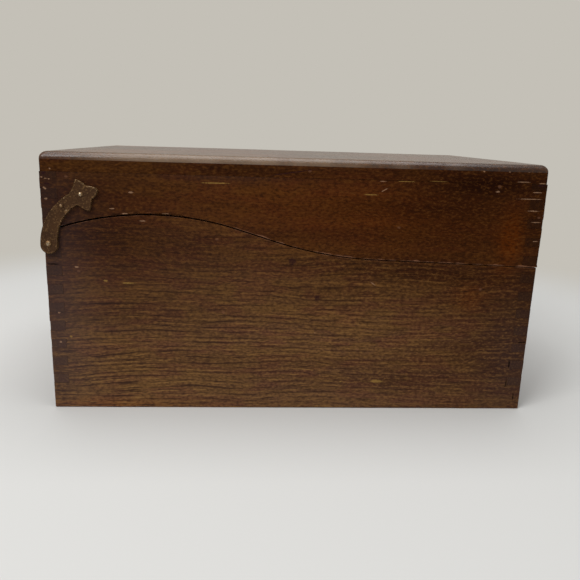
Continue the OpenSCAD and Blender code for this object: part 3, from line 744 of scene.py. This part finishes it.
def top_board():
    """Top board of the lid. Over the rounded edges each grid line stands at an angle of the quarter
    circle. At the corners the two angles' sines give the direction from the corner's centre by a
    superellipse of power 4, and the larger one gives how far out the point lies and how far down."""
    turn = np.radians(np.linspace(0, 90, 8))[1:]
    flat_x, flat_y = LID_X - TOP_ROUND, LID_Y - TOP_ROUND
    lines = []
    for flat in (flat_x, flat_y):
        inside = spaced([-flat, flat], 3.0)
        place = np.concatenate([np.full(len(turn), -flat), inside, np.full(len(turn), flat)])
        lines.append((place, np.sin(np.concatenate([-turn[::-1], np.zeros(len(inside)), turn]))))
    (place_x, sine_x), (place_y, sine_y) = lines
    px, py = np.meshgrid(place_x, place_y, indexing="ij")
    sx, sy = np.meshgrid(sine_x, sine_y, indexing="ij")
    out = np.maximum(np.abs(sx), np.abs(sy))
    norm = np.maximum((sx ** 4 + sy ** 4) ** 0.25, 1e-9)
    x = px + TOP_ROUND * out * sx / norm
    y = py + TOP_ROUND * out * sy / norm
    z = TOP_Z - TOP_ROUND * (1 - np.sqrt(1 - np.minimum(out, 1) ** 2))
    upper = np.stack([x, y, z], -1)
    lower = np.stack([x, y, np.full_like(z, WALL_TOP)], -1)
    dip = 0.05 * wobble(upper.reshape(-1, 3), 70, 5).reshape(z.shape) + 0.06
    upper[..., 2] -= np.where(out < 0.9, dip, 0)
    points, faces, _ = slab(upper, lower, (0.02, 0.3, 0.6))
    x, y, z = points.T
    within = (np.abs(x) < END_IN) & (np.abs(y) < SIDE_IN) & (z < WALL_TOP + 0.1)
    values = board_values(points, within.astype(float), True, 30)
    # Painted reflection: a pale band of painted sheen over the lower part of the rounded edge, fading
    # towards the front, where painted shade darkens the band
    beyond = np.maximum(np.abs(x) - flat_x, np.abs(y) - flat_y)
    band = np.interp(beyond, (0, 0.8, 1.6), (0, 0.7, 1)) * (z > TOP_Z - TOP_ROUND - 0.01)
    painted_sheen = np.clip(0.32 - 0.46 * x / LID_X + 0.1 * wobble(points, 12, 8), 0, 1)
    values["cool"] = painted_sheen * np.exp(-(x / 86) ** 6) * band
    values["dark"] = np.clip(values["dark"] + 0.4 * band * np.clip(x / 80, 0, 1), 0, 1)
    make_piece("lid_top_board", points, [faces], "lid", ["lid_top"], OAK_SIDE,
               lambda middle: np.full(len(middle), 0.2), values, upward=OAK_TOP)


def punched(grid, places, radius, depth):
    """Sinks round holes into a grid of points on a plane of constant z. The square of lines about
    each place is drawn onto a disc, and what lies on the disc is moved by depth."""
    for x, y in places:
        a, b = (grid[..., 0] - x) / radius, (grid[..., 1] - y) / radius
        reach = np.maximum(np.abs(a), np.abs(b))
        patch = reach < 1.1
        a, b = a[patch], b[patch]
        grid[patch, 0] = x + radius * a * np.sqrt(np.maximum(1 - b ** 2 / 2, 0))
        grid[patch, 1] = y + radius * b * np.sqrt(np.maximum(1 - a ** 2 / 2, 0))
        grid[..., 2] += np.where(reach < 1.005, depth, 0)


# Places of the brads in the bottom board, along it and across, and how far they stand from the edges
BRADS_ALONG, BRADS_ACROSS, BRAD_IN = (29, 87), 35, 3.75
BRAD_HOLE_R = 1.55
BRAD_HOLE_DEPTH = 0.8
# Gaps around the track and the runner, and the runner's groove
TRACK_GAP, GROOVE_GAP = 0.1, 0.3
GROOVE_LENGTH, GROOVE_HALF, GROOVE_DEPTH = 170.6, 5.35, 3.0
# Height from which the bottom board counts as the inside of the box
WITHIN_FROM = 4


def bottom_board():
    """Bottom board. Its upper face steps down into the recess of the track and the groove of the
    runner, and the brads' heads sit in shallow round holes in its underside."""
    brads_x = [s * x for x in BRADS_ALONG for s in (-1, 1)]
    brads_y, end_x = BODY_Y - BRAD_IN, BODY_X - BRAD_IN
    places = [(x, s * brads_y) for x in brads_x for s in (-1, 1)]
    places += [(s * end_x, t * BRADS_ACROSS) for s in (-1, 1) for t in (-1, 1)]
    near = BRAD_HOLE_R * np.array([-1.5, -1.02, -1, -0.5, 0, 0.5, 1, 1.02, 1.5])
    step = 0.02
    track_low, track_high = frame_box("follower_track")
    groove_start = frame_box("follower_runner")[0][0] - GROOVE_GAP
    recess = (track_low[0] - TRACK_GAP, track_high[0] + TRACK_GAP, track_high[1] + TRACK_GAP)
    groove = (groove_start, groove_start + GROOVE_LENGTH, GROOVE_HALF)
    keys_x = [-BODY_X, BODY_X, *np.add.outer([*brads_x, -end_x, end_x], near).ravel()]
    keys_y = [-BODY_Y, BODY_Y,
              *np.add.outer([-brads_y, -BRADS_ACROSS, BRADS_ACROSS, brads_y], near).ravel()]
    for low, high, half in (recess, groove):
        keys_x += [low - step, low, high, high + step]
        keys_y += [-half - step, -half, half, half + step]
    columns, rows = spaced(keys_x, 4.0), spaced(keys_y, 4.0)
    x, y = np.meshgrid(columns, rows, indexing="ij")
    floor = np.full_like(x, FLOOR_Z)
    for (low, high, half), level in ((recess, track_low[2]), (groove, track_low[2] - GROOVE_DEPTH)):
        floor[(x > low - 1e-3) & (x < high + 1e-3) & (np.abs(y) < half + 1e-3)] = level
    under = np.stack([x, y, np.zeros_like(x)], -1)
    punched(under, places, BRAD_HOLE_R, BRAD_HOLE_DEPTH)
    points, faces, _ = slab(under, np.stack([x, y, floor], -1), (0.25, 0.5, 0.75))
    x, y, z = points.T
    within = (np.abs(x) < END_IN) & (np.abs(y) < SIDE_IN) & (z > WITHIN_FROM)

    def arris(middle):
        outside = np.minimum(BODY_X - np.abs(middle[:, 0]), BODY_Y - np.abs(middle[:, 1])) < 0.01
        worn = np.clip(0.7 + 0.3 * wobble(middle, 17, 31), 0.3, 1.0)
        return outside * np.where(middle[:, 2] > FLOOR_Z - 0.01, 0.2, worn)

    make_piece("bottom_panel", points, [faces], "body", ["bottom_board"], OAK_BOTTOM,
               arris, board_values(points, within.astype(float), False, 31))


for upper in (False, True):
    for way in (-1, 1):
        side_board(upper, way)
        end_board(upper, way)
top_board()
bottom_board()


# Hinge arms and their pins and nails

ARM_LOW, ARM_HIGH = frame_box("left_hinge_arm")
PIN_LOW, PIN_HIGH = frame_box("left_hinge_pivot")
PIVOT_X, PIVOT_Z = (PIN_LOW[0] + PIN_HIGH[0]) / 2, (PIN_LOW[2] + PIN_HIGH[2]) / 2
EYE_R = 4.0
EYE = (PIVOT_X + 0.2, PIVOT_Z - 0.9)
# The arm's left and right edges up from the eye, as arcs: each one's end from the pivot, how far its
# middle stands off to the left, and its number of steps. Both end at the arm's tip.
LEFT_ARCS = ((10.4, 22.9, 3.7, 50), (13.4, 29.5, -0.4, 14), (18.2, 26.7, 0.5, 12), (23.5, 25.3, 0.4, 14))
RIGHT_ARCS = ((13.4, 17.7, 2.9, 50), (14.4, 17.8, 0, 2), (19.3, 15.2, -0.4, 12),
              (20.6, 20.7, -0.2, 12), (23.5, 25.3, -0.5, 14))
# Places on the arm, from the pivot: where one pale spot lies, and the height above which the rim gets a
# painted highlight, as if catching the light from above
PALE_SPOT = (8.7, 15.3)
LIT_RIM_FROM = 19


def bow(start, end, rise, steps):
    """Points along a circle's arc between two points. Its middle stands off to the left of the chord
    by rise: the radius follows from half the chord and the rise."""
    start, end = np.array(start, float), np.array(end, float)
    share = np.linspace(0, 1, steps + 1)
    if rise == 0:
        return start + np.outer(share, end - start)
    chord = end - start
    length = np.hypot(*chord)
    left = np.array([-chord[1], chord[0]]) / length
    radius = (length ** 2 / 4 + rise ** 2) / (2 * rise)
    centre = (start + end) / 2 + left * (rise - radius)
    first = math.atan2(start[1] - centre[1], start[0] - centre[0])
    turn = -2 * math.copysign(math.asin(min(1, length / abs(2 * radius))), radius)
    angle = first + turn * share
    return centre + abs(radius) * np.stack([np.cos(angle), np.sin(angle)], -1)


def arm_edge(side, arcs):
    """One edge of the arm, as a row of points: round the eye and along the arcs up to the tip."""
    around = np.radians(np.linspace(10, 90, 9))
    edge = [EYE + np.stack([side * np.sin(around), -np.cos(around)], -1) * EYE_R]
    start = (EYE[0] + side * EYE_R, EYE[1])
    for x, z, rise, steps in arcs:
        end = (PIVOT_X + x, PIVOT_Z + z)
        edge.append(bow(start, end, rise, steps)[1:])
        start = end
    return np.concatenate(edge)[:-1]


def outline_distance(points, ring):
    """Distance of each point from the nearest of the segments of a closed ring, all in one plane."""
    start, way = ring, np.roll(ring, -1, 0) - ring
    share = ((points[:, None] - start) * way).sum(-1) / (way ** 2).sum(-1)
    nearest = start + np.clip(share, 0, 1)[..., None] * way
    return np.linalg.norm(points[:, None] - nearest, axis=-1).min(1)


def hinge_arm(side):
    """Stamped arm between its two edges. A flat rim runs round it, and inside the rim the metal lies
    lower and is covered in shallow hammer marks: each is a bowl about a seeded place, and where bowls
    meet the lower one counts."""
    left, right = arm_edge(-1, LEFT_ARCS), arm_edge(1, RIGHT_ARCS)
    width = np.linalg.norm(right - left, axis=1)
    border = np.array([0, 0.25, 0.5, 0.7, 0.95])
    inner = np.linspace(0, 1, 27)[1:-1]
    near = border * np.minimum(1, width / 4)[:, None] / width[:, None]
    middle = near[:, -1:] + inner * (1 - 2 * near[:, -1:])
    share = np.concatenate([near, middle, 1 - near[:, ::-1]], 1)[..., None]
    flat = left[:, None] * (1 - share) + right[:, None] * share
    spots = flat.reshape(-1, 2)
    edge = outline_distance(spots, np.concatenate([left, right[::-1]])).reshape(share.shape[:2])
    rng = np.random.default_rng(7)
    pitch = 1.25
    seeds = np.stack(np.meshgrid(np.arange(-5, 25, pitch), np.arange(-6, 31, pitch)), -1).reshape(-1, 2)
    seeds = seeds + rng.uniform(-0.45, 0.45, seeds.shape) * pitch + (PIVOT_X, PIVOT_Z)
    gap = np.linalg.norm(spots[:, None] - seeds, axis=-1)
    bowl = np.clip(1 - (gap / rng.uniform(0.6, 0.95, len(seeds))) ** 2, 0, None)
    bowl = (bowl * rng.uniform(0.5, 1, len(seeds))).max(1).reshape(edge.shape)
    inside = np.clip((edge - 0.55) / 0.25, 0, 1)
    spot = np.linalg.norm(spots - PALE_SPOT - (PIVOT_X, PIVOT_Z), axis=1).reshape(edge.shape)
    # Painted highlight: above that height the rim is made paler, as if it caught the light from above
    rim = np.exp(-(edge / 0.4) ** 2) * np.clip((flat[..., 1] - PIVOT_Z - LIT_RIM_FROM) / 5, 0, 1)
    high = 0.5 - 0.1 * inside - 0.4 * inside * bowl + 1.1 * np.exp(-(spot / 0.6) ** 2) + 0.5 * rim
    sunk = 0.07 * inside + 0.11 * inside * bowl
    top = np.stack([flat[..., 0], ARM_LOW[1] + sunk, flat[..., 1]], -1)
    back = np.stack([flat[..., 0], np.full(edge.shape, ARM_HIGH[1]), flat[..., 1]], -1)
    points, faces, depth = slab(top, back, (0.5,))
    lift = np.full(len(points), 0.75)
    lift[depth == 0] = np.clip(high, 0, 1.5).ravel()
    points[:, 1] *= -side
    place = ("left", "right")[side > 0]
    make_piece(f"{place}_arm", points, [faces], "lid", [f"{place}_hinge_arm"], BRONZE,
               lambda mid: np.where(np.abs(mid[:, 1]) > -ARM_LOW[1] - 0.02, 0.28, 0.05), {"high": lift})


# Width and depth of the slots in the screws' heads
SLOT_WIDTH, SLOT_DEPTH = 0.8, 0.8


def turned(profile, centre, axis, around=48, dents=0.0, slot=0.0, seed=1):
    """Surface of revolution about an axis through centre. The profile is a list of radius and height
    along the axis, which ends on the axis at both ends. dents pushes the surface in by seeded noise,
    and slot cuts a groove of that width across its outer end."""
    profile = np.array(profile, float)
    axis = np.array(axis, float)
    side = np.cross(axis, (0.3, 0.5, 0.8))
    side /= np.linalg.norm(side)
    other = np.cross(axis, side)
    angle = np.linspace(0, 2 * np.pi, around, endpoint=False)
    rim = np.cos(angle)[:, None] * side + np.sin(angle)[:, None] * other
    body = profile[1:-1]
    points = centre + body[:, None, :1] * rim + body[:, None, 1:] * axis
    flat = points.reshape(-1, 3)
    across = np.abs((flat - centre) @ other)
    end = np.repeat(body[:, 1], around) > profile[-1, 1] - 1.0
    cut = np.clip((slot / 2 + 0.1 - across) / 0.15, 0, 1) * end if slot else 0
    flat = flat - np.outer(SLOT_DEPTH * cut + dents * (0.5 + 0.5 * wobble(flat, 1.6, seed)) * end, axis)
    poles = centre + profile[[0, -1], 1][:, None] * axis
    poles[1] -= axis * (SLOT_DEPTH if slot else dents * 0.5)
    n = len(body)
    index = np.arange(n * around).reshape(n, around)
    index = np.concatenate([index, index[:, :1]], 1)
    quads = grid_quads(index).reshape(-1, 4)
    first, last = index[0], index[-1]
    fans = [np.stack([first[1:], first[:-1], np.full(around, n * around)], -1),
            np.stack([last[:-1], last[1:], np.full(around, n * around + 1)], -1)]
    return np.concatenate([flat, poles]), [quads[:, ::-1], np.concatenate(fans)[:, ::-1]]


def joined(parts):
    """Several solids' points and faces as one."""
    points, quads, fans, start = [], [], [], 0
    for part, (four, three) in parts:
        points.append(part)
        quads.append(four + start)
        fans.append(three + start)
        start += len(part)
    return np.concatenate(points), [np.concatenate(quads), np.concatenate(fans)]


def domed_profile(head_r, head_h, shank_r, length):
    """Nail from its tip to the top of its head: a point, the shank, the flat under the head and the
    dome, whose radius follows from the head's radius and height."""
    dome = (head_r ** 2 + head_h ** 2) / (2 * head_h)
    lean = np.linspace(math.asin(head_r / dome), 0, 9)
    cap = np.stack([dome * np.sin(lean), dome * np.cos(lean) - dome + head_h], -1)
    return [(0, -length), (0.2 * shank_r, -length), (shank_r, -length + 1.5 * shank_r), (shank_r, 0),
            (head_r * 0.97, 0), *cap[:-1], (0.15 * head_r, head_h), (0, head_h)]


# Heads of the pins and nails, and the radius and length of their shanks
HEAD_HEIGHT = 0.7
NAIL_HEAD_R = 1.15
PIN_SHANK, NAIL_SHANK = (1.0, 7.4), (0.7, 7.1)


def heads_worn_and_lit(points, places, most, radius):
    """How much the heads stand out, as wear and as a painted highlight: most in the middle, less by the
    square of the distance.
    """
    away = np.min([np.hypot(points[:, 0] - x, points[:, 2] - z) for x, z in places], 0)
    return {"high": most - (away / radius) ** 2}


def arm_heads(side):
    """The pivot pin in the body and the two nails in the lid, with their domed heads."""
    out = (0, side, 0)
    place = ("left", "right")[side > 0]
    pin_r = (PIN_HIGH[0] - PIN_LOW[0]) / 2
    under = side * (-PIN_LOW[1] - HEAD_HEIGHT)
    points, faces = turned(domed_profile(pin_r, HEAD_HEIGHT, *PIN_SHANK), (PIVOT_X, under, PIVOT_Z),
                           out, dents=0.1, seed=3)
    make_piece(f"{place}_pivot_pin", points, faces, "body", [f"{place}_hinge_pivot"],
               BRONZE, values=heads_worn_and_lit(points, [(PIVOT_X, PIVOT_Z)], 1.3, pin_r))
    low, high = (corner[::2] for corner in frame_box(f"{place}_hinge_nails"))
    nails = [high - NAIL_HEAD_R, low + NAIL_HEAD_R]
    profile = domed_profile(NAIL_HEAD_R, HEAD_HEIGHT, *NAIL_SHANK)
    points, faces = joined([turned(profile, (x, side * -ARM_LOW[1], z), out, dents=0.12, seed=k + 5)
                            for k, (x, z) in enumerate(nails)])
    # The upper nail has more wear and a brighter painted highlight than the lower one
    most = np.where(points[:, 2] > (low[1] + high[1]) / 2, 1.45, 0.95)
    make_piece(f"{place}_arm_nails", points, faces, "lid", [f"{place}_hinge_nails"],
               BRONZE, values=heads_worn_and_lit(points, nails, most, NAIL_HEAD_R))


for way in (-1, 1):
    hinge_arm(way)
    arm_heads(way)


# Card follower and the steel around it

BLOCK_LOW, BLOCK_HIGH = frame_box("follower_block")
PLATE_LOW, PLATE_HIGH = frame_box("follower_bracket")
PLATE_T = BLOCK_LOW[2] - PLATE_LOW[2]
BEND_R = 0.5
BLOCK_TOP_T = 12


def wedge():
    """Wooden follower: a slab between its upright rear face and its leaning front, whose length goes
    from that at the foot to that at the top in a straight line."""
    rows = spaced([BLOCK_LOW[2], BLOCK_HIGH[2]], 4.0)
    columns = spaced([BLOCK_LOW[1], BLOCK_HIGH[1]], 4.0)
    z, y = np.meshgrid(rows, columns, indexing="ij")
    share = (z - BLOCK_LOW[2]) / (BLOCK_HIGH[2] - BLOCK_LOW[2])
    front = BLOCK_HIGH[0] - share * (BLOCK_HIGH[0] - BLOCK_LOW[0] - BLOCK_TOP_T)
    rear = np.full_like(z, BLOCK_LOW[0])
    points, faces, _ = slab(np.stack([front, y, z], -1), np.stack([rear, y, z], -1),
                            (0.15, 0.3, 0.5, 0.7, 0.85))
    values = {key: np.zeros(len(points)) for key in BOARD_VALUES}
    values["gold"] += 0.3 + 0.2 * wobble(points, 40, 51)
    values["dark"] += np.clip(0.2 * wobble(points, 30, 52), 0, 1)
    values["figure"] += 1.0
    values["from_edge"] += 9.0
    make_piece("follower_wedge", points, [faces], "follower", ["follower_block"],
               PLAIN_OAK, lambda mid: np.where(mid[:, 2] > BLOCK_HIGH[2] - 1, 1.5, 0.6), values,
               widest=1.6)


def bent_plate():
    """Steel plate bent up behind the follower. Its outer and inner faces run side by side along the
    floor, round a quarter circle and up."""
    turn = np.linspace(0, np.pi / 2, 7)
    outer_r = BEND_R + PLATE_T
    cx, cz = PLATE_LOW[0] + outer_r, PLATE_LOW[2] + outer_r
    along_x = spaced([cx, PLATE_HIGH[0]], 3.0)[::-1]
    up_z = spaced([cz, PLATE_HIGH[2]], 3.0)[1:]
    y = spaced([PLATE_LOW[1], PLATE_HIGH[1]], 2.0)
    grids = []
    for radius in (outer_r, BEND_R):
        bend = np.stack([cx - radius * np.sin(turn), cz - radius * np.cos(turn)], -1)
        floor = np.stack([along_x, np.full(len(along_x), cz - radius)], -1)
        upright = np.stack([np.full(len(up_z), cx - radius), up_z], -1)
        line = np.concatenate([floor, bend[1:], upright])
        grids.append(np.stack(np.broadcast_arrays(line[:, :1], y, line[:, 1:]), -1))
    points, quads, _ = slab(*grids, (0.5,))
    make_piece("follower_plate", points, [quads], "follower", ["follower_bracket"], STEEL,
               lambda mid: np.full(len(mid), 0.18))


SCREW_HEAD_R, SCREW_SHANK_R = 2.8, 1.4
ROUND_HEAD_H, SUNK_HEAD_H = 1.5, 1.2
PLATE_SCREW_L, TRACK_SCREW_L = 12, 6


def screw_profile(length, domed):
    """Screw from its tip to the middle of its head. A round head is domed over a flat underside, and
    a sunk head is flat over a cone. The outer end has rings close enough to show the slot."""
    under = -0.01 - (0 if domed else SUNK_HEAD_H)
    tip = [(0, -length), (0.15, -length), (SCREW_SHANK_R, -length + 3), (SCREW_SHANK_R, under)]
    rings = np.linspace(SCREW_HEAD_R, 0.12, 22)
    if domed:
        dome = (SCREW_HEAD_R ** 2 + ROUND_HEAD_H ** 2) / (2 * ROUND_HEAD_H)
        height = np.sqrt(dome ** 2 - rings ** 2) - dome + ROUND_HEAD_H
        return [*tip, (SCREW_HEAD_R * 0.96, 0), *np.stack([rings, height], -1), (0, ROUND_HEAD_H)]
    return [*tip, *np.stack([rings, np.zeros(len(rings))], -1), (0, 0)]


def slotted_screws(name, rides, node, profile, places, axis):
    """A pair of screws, each with its slot."""
    points, faces = joined([turned(profile, place, axis, around=72, slot=SLOT_WIDTH) for place in places])
    make_piece(name, points, faces, rides, [node], STEEL)


wedge()
bent_plate()
low, high = frame_box("bracket_screws")
slotted_screws("round_head_screws", "follower", "bracket_screws", screw_profile(PLATE_SCREW_L, True),
               [(low[0] + ROUND_HEAD_H, 0, low[2] + SCREW_HEAD_R),
                (low[0] + ROUND_HEAD_H, 0, high[2] - SCREW_HEAD_R)], (-1, 0, 0))
low, high = frame_box("track_screws")
slotted_screws("sunk_screws", "body", "track_screws", screw_profile(TRACK_SCREW_L, False),
               [(low[0] + SCREW_HEAD_R, 0, high[2]), (high[0] - SCREW_HEAD_R, 0, high[2])], (0, 0, 1))
for kept in ("bottom_nails", "follower_track", "follower_runner", "follower_rivets"):
    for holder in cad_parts[kept].material_slots:
        holder.material = STEEL


# Stage, light and camera

BACKDROP_TONE = "#c4c0b7"


def backdrop_share(tree):
    """1 for rays that show the backdrop's plain tone: from the camera, and in gloss and glass."""
    path = add(tree, "LightPath").outputs
    seen = path["Is Camera Ray"]
    for kind in ("Is Glossy Ray", "Is Transmission Ray"):
        seen = add(tree, "Math", {0: seen, 1: path[kind]}, operation="MAXIMUM")
    return seen


def stage_finish():
    """Plain pale paint. Near the box the floor takes light and shadow, and further out it passes into
    the backdrop's one tone."""
    made, tree, shader, output = new_finish("plain_pale_paint")
    plug(shader, {"Base Color": linear("#d5d5d3"), "Roughness": 0.9, "Specular IOR Level": 0.1})
    place = add(tree, "TexCoord").outputs["Object"]
    away = add(tree, "VectorMath", {0: place}, operation="LENGTH").outputs["Value"]
    far = add(tree, "MapRange", {"Value": away, "From Min": 0.27, "From Max": 0.45},
              interpolation_type="SMOOTHSTEP")
    share = add(tree, "Math", {0: backdrop_share(tree), 1: far}, operation="MULTIPLY")
    plain = add(tree, "Emission", {"Color": linear(BACKDROP_TONE), "Strength": 1.0})
    plug(output, {"Surface": add(tree, "MixShader", {0: share, 1: shader, 2: plain})})
    return made


# Rings of the floor, how far it lies below the box, and how far its opening lies inside the outline
FLOOR_RADII = (200, 500, 1200, 4000)
FLOOR_DROP = 0.02
OPENING_IN = 1.3


def pale_floor():
    """Flat ring of floor. It is open under the box, inside the box's own outline, so that views from
    below reach the bottom board."""
    half_x, half_y = BODY_X - OPENING_IN, BODY_Y - OPENING_IN
    corner = math.atan2(half_y, half_x)
    turn = spaced([-corner, corner, np.pi - corner, np.pi + corner, 2 * np.pi - corner], 0.07)[:-1]
    round_way = np.stack([np.cos(turn), np.sin(turn)], -1)
    hole = round_way / np.abs(round_way / (half_x, half_y)).max(1, keepdims=True)
    rings = np.stack([hole, *[round_way * radius for radius in FLOOR_RADII]])
    points = np.concatenate([rings, np.full((*rings.shape[:2], 1), -FLOOR_DROP)], -1)
    index = np.arange(rings[..., 0].size).reshape(rings.shape[:2])
    faces = grid_quads(np.concatenate([index, index[:, :1]], 1)).reshape(-1, 4)
    mesh = bpy.data.meshes.new("pale_floor")
    mesh.from_pydata((points.reshape(-1, 3) * MM).tolist(), [], faces.tolist())
    mesh.materials.append(stage_finish())
    made = bpy.data.objects.new("pale_floor", mesh)
    bpy.context.scene.collection.objects.link(made)


def studio_world():
    """Even light from all round, which shows as the backdrop's tone where a ray sees it."""
    world = bpy.data.worlds.new("studio")
    bpy.context.scene.world = world
    world.use_nodes = True
    tree = world.node_tree
    even = tree.nodes["Background"]
    plug(even, {"Color": linear("#f2f0ec"), "Strength": 0.3})
    plain = add(tree, "Background", {"Color": linear(BACKDROP_TONE), "Strength": 1.0})
    both = add(tree, "MixShader", {0: backdrop_share(tree), 1: even, 2: plain})
    plug(tree.nodes["World Output"], {"Surface": both})


def lamp(name, place, aim, size, power):
    """A square soft lamp at a place in mm, aimed at another."""
    data = bpy.data.lights.new(name, "AREA")
    data.shape = "SQUARE"
    data.size = size * MM
    data.energy = power
    made = bpy.data.objects.new(name, data)
    way = np.array(aim, float) - place
    made.matrix_world = looking(place, way / np.linalg.norm(way), 0)
    bpy.context.scene.collection.objects.link(made)


def looking(place, forward, roll):
    """Matrix of a camera or lamp at a place in mm that looks forward, with its top turned by roll."""
    right = np.cross(forward, (0, 0, 1))
    right /= np.linalg.norm(right)
    up = np.cross(right, forward)
    turned_right = right * math.cos(roll) + up * math.sin(roll)
    turned_up = -right * math.sin(roll) + up * math.cos(roll)
    matrix = np.eye(4)
    matrix[:3, :3] = np.stack([turned_right, turned_up, -forward], 1)
    matrix[:3, 3] = np.array(place, float) * MM
    return Matrix(matrix.tolist())


pale_floor()
studio_world()
lamp("key_lamp", (-550, -600, 900), (0, 0, 60), 500, 5.6)
lamp("top_lamp", (0, 0, 1050), (0.1, 0, 0), 900, 7.5)

# The photograph's view, for a picture of 580 by 580 pixels
PICTURE = 580
FOCAL_PIXELS = 608.3
CAMERA_PLACE = (-20.76, -357.02, 133.76)
YAW, PITCH, ROLL = (math.radians(a) for a in (-3.606, 14.226, 1.784))
view = bpy.data.cameras.new("photograph_view")
view.sensor_width = 36
view.lens = FOCAL_PIXELS * view.sensor_width / PICTURE
view.clip_start = 0.01
camera = bpy.data.objects.new("photograph_view", view)
forward = np.array([-math.sin(YAW) * math.cos(PITCH), math.cos(YAW) * math.cos(PITCH), -math.sin(PITCH)])
camera.matrix_world = looking(CAMERA_PLACE, forward, ROLL)
bpy.context.scene.collection.objects.link(camera)
bpy.context.scene.camera = camera
bpy.context.scene.view_settings.view_transform = "Standard"
